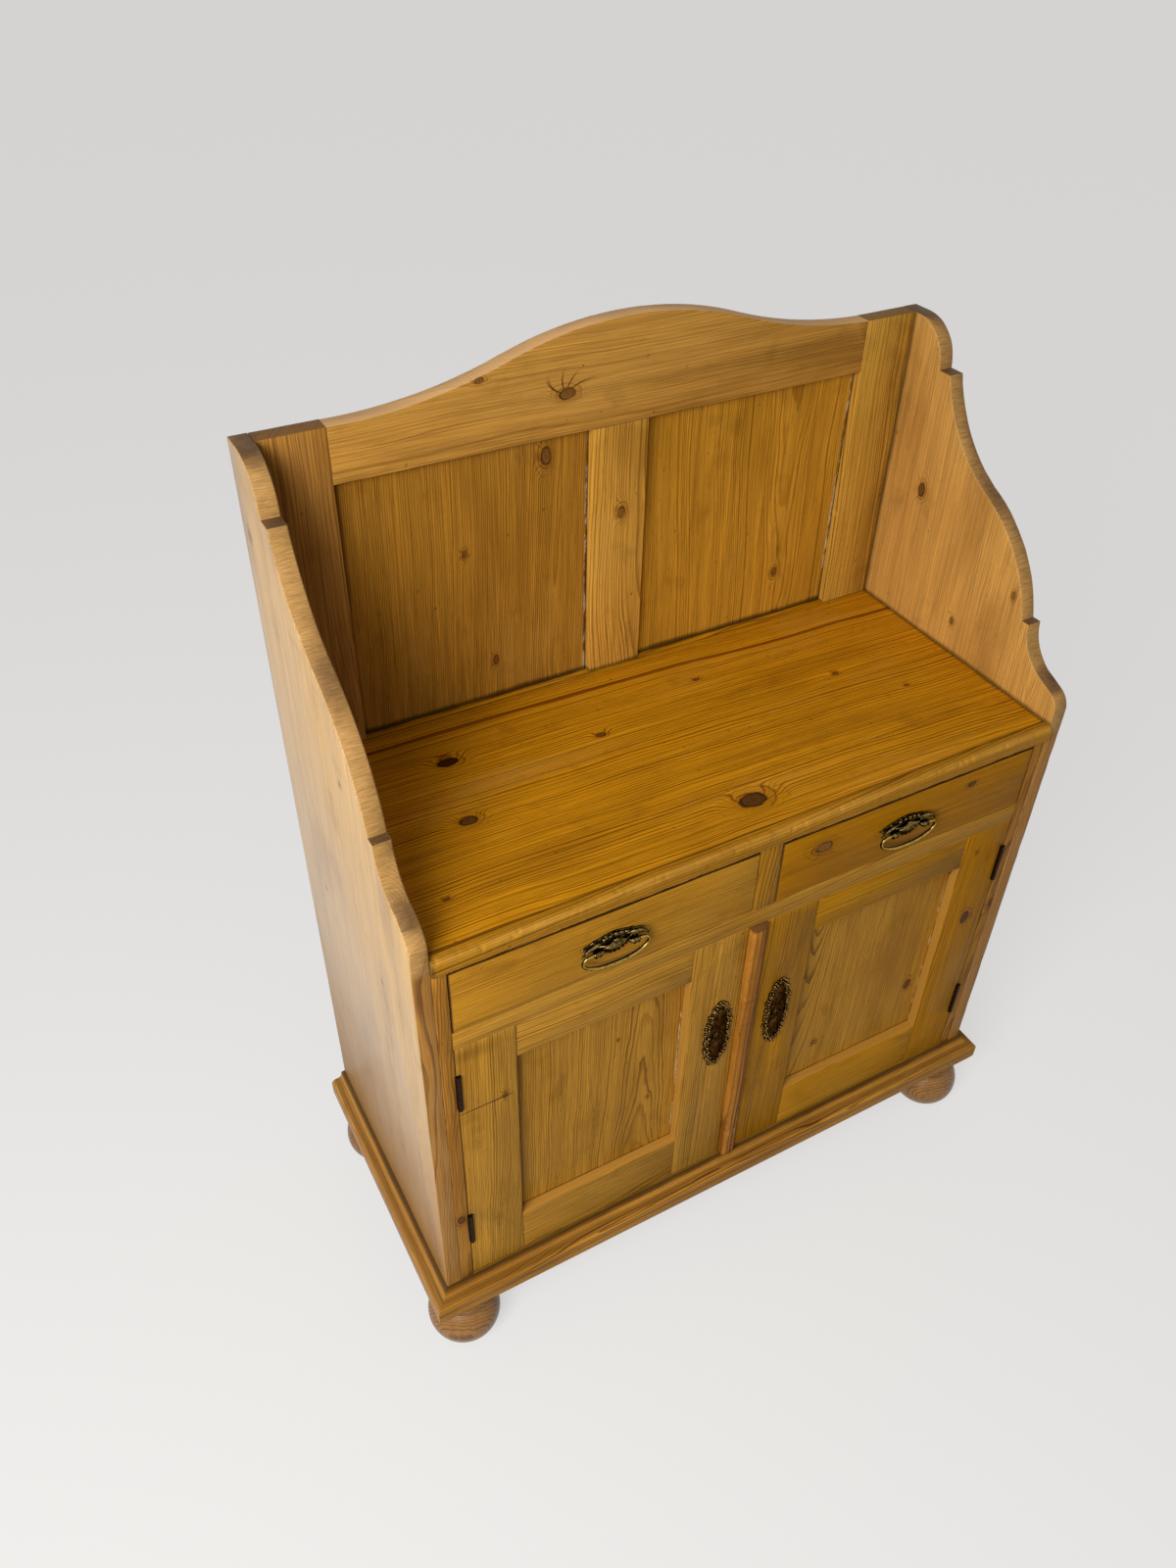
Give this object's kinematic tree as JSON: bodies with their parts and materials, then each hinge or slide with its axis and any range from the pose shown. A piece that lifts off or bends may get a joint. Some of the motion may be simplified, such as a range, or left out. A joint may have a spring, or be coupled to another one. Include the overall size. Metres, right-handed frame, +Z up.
{
  "type": "cupboard",
  "caption": "Low pine cupboard with an open worktop between shaped gallery sides, a panelled back with a curved crest, drawers over framed doors, a moulded plinth and turned feet.",
  "frame": {"origin": "on the floor, under the middle of the outline of the front feet, the plinth and the back", "axes": "+X to the cupboard's right as seen from the front, +Y to the back, +Z up"},
  "size_m": [0.946, 0.431, 1.2471],
  "materials": {
    "waxed_pine": "old wax, satin",
    "raw_pine": "bare inside wood, matt",
    "aged_brass": "darkened, rubbed bright on high spots",
    "dark_iron": "dark brown patina"
  },
  "bodies": {
    "case": {"side_left": "waxed_pine", "side_right": "waxed_pine", "worktop": "waxed_pine", "worktop_nosing": "waxed_pine", "front_strip_left": "waxed_pine", "front_strip_right": "waxed_pine", "drawer_rail": "waxed_pine", "drawer_divider": "waxed_pine", "side_runners": "raw_pine", "centre_runner": "raw_pine", "bottom_board": "raw_pine", "shelf": "raw_pine", "shelf_cleats": "raw_pine", "back_stile_left": "waxed_pine", "back_stile_right": "waxed_pine", "crest_rail": "waxed_pine", "back_middle_rail": "waxed_pine", "back_muntin": "waxed_pine", "back_panel_left": "waxed_pine", "back_panel_right": "waxed_pine", "lower_back_boards": "raw_pine", "plinth_front": "waxed_pine", "plinth_left": "waxed_pine", "plinth_right": "waxed_pine", "plinth_back": "raw_pine", "foot_front_left": "waxed_pine", "foot_front_right": "waxed_pine", "foot_back_left": "waxed_pine", "foot_back_right": "waxed_pine", "hinge_case_leaves": "dark_iron", "hinge_pins": "dark_iron"},
    "door_left": {"left_door_hinge_stile": "waxed_pine", "left_door_meeting_stile": "waxed_pine", "left_door_top_rail": "waxed_pine", "left_door_bottom_rail": "waxed_pine", "left_door_panel": "waxed_pine", "left_door_key_plate": "aged_brass", "left_door_hinge_leaves": "dark_iron", "lock_case": "dark_iron"},
    "bolt": {"lock_bolt": "dark_iron"},
    "door_right": {"right_door_meeting_stile": "waxed_pine", "right_door_hinge_stile": "waxed_pine", "right_door_top_rail": "waxed_pine", "right_door_bottom_rail": "waxed_pine", "right_door_panel": "waxed_pine", "right_door_key_plate": "aged_brass", "right_door_hinge_leaves": "dark_iron", "meeting_strip": "waxed_pine"},
    "drawer_left": {"left_drawer_front": "waxed_pine", "left_drawer_sides": "raw_pine", "left_drawer_back": "raw_pine", "left_drawer_bottom": "raw_pine", "left_pull_plate": "aged_brass"},
    "pull_left": {"left_pull_bail": "aged_brass"},
    "drawer_right": {"right_drawer_front": "waxed_pine", "right_drawer_sides": "raw_pine", "right_drawer_back": "raw_pine", "right_drawer_bottom": "raw_pine", "right_pull_plate": "aged_brass"},
    "pull_right": {"right_pull_bail": "aged_brass"}
  },
  "joints": [
    {"name": "left_door_hinge", "type": "hinge", "parent": "case", "child": "door_left", "pos_m": [-0.4089, -0.1854, 0.4047], "axis": [0, 0, -1], "range_deg": [0, 170]},
    {"name": "right_door_hinge", "type": "hinge", "parent": "case", "child": "door_right", "pos_m": [0.4089, -0.1854, 0.4047], "axis": [0, 0, 1], "range_deg": [0, 170]},
    {"name": "left_drawer_slide", "type": "slide", "parent": "case", "child": "drawer_left", "axis": [0, -1, 0], "range_m": [0, 0.25]},
    {"name": "right_drawer_slide", "type": "slide", "parent": "case", "child": "drawer_right", "axis": [0, -1, 0], "range_m": [0, 0.25]},
    {"name": "left_bail_swing", "type": "hinge", "parent": "drawer_left", "child": "pull_left", "pos_m": [-0.21245, -0.1945, 0.7049], "axis": [-1, 0, 0], "range_deg": [0, 100]},
    {"name": "right_bail_swing", "type": "hinge", "parent": "drawer_right", "child": "pull_right", "pos_m": [0.20745, -0.1945, 0.7049], "axis": [-1, 0, 0], "range_deg": [0, 100]},
    {"name": "bolt_slide", "type": "slide", "parent": "door_left", "child": "bolt", "axis": [1, 0, 0], "range_m": [0, 0.008]}
  ]
}
